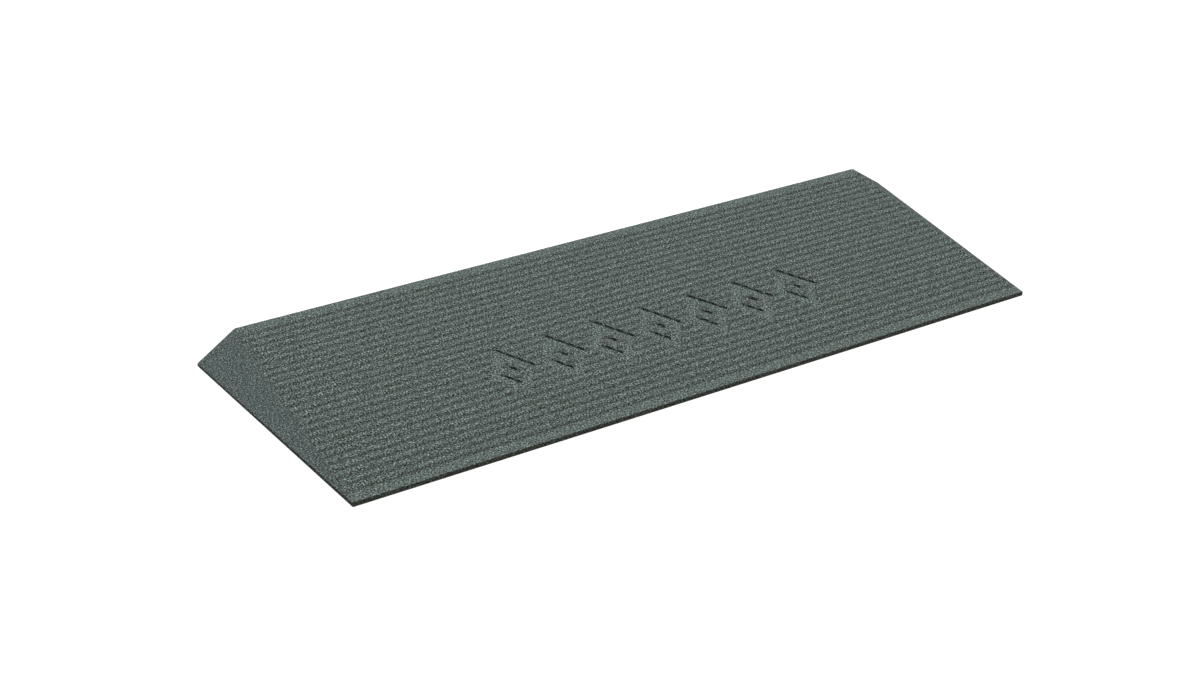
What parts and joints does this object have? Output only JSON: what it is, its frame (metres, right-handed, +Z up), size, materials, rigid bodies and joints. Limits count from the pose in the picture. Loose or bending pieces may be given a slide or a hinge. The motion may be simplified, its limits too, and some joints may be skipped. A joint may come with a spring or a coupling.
{
  "type": "threshold ramp",
  "caption": "Low rubber-crumb threshold ramp: a wedge with a ribbed, engraved deck, bevelled ends and floor tape underneath.",
  "frame": {"origin": "on the floor under the middle of the ramp's footprint", "axes": "+X along the front edge, +Y from the low front edge to the door sill, +Z up"},
  "size_m": [1.014, 0.3556, 0.0375],
  "materials": {
    "wear_skin": "matt bonded rubber crumb, green-grey with paler and near-black granules",
    "core_wedge": "matt black bonded rubber crumb",
    "floor_tape": "smooth grey double-sided foam tape"
  },
  "bodies": {
    "root": {"wear_skin": "wear_skin", "core_wedge": "core_wedge", "floor_tape_front": "floor_tape", "floor_tape_middle": "floor_tape", "floor_tape_back": "floor_tape", "floor_tape_left": "floor_tape", "floor_tape_right": "floor_tape"}
  },
  "joints": []
}
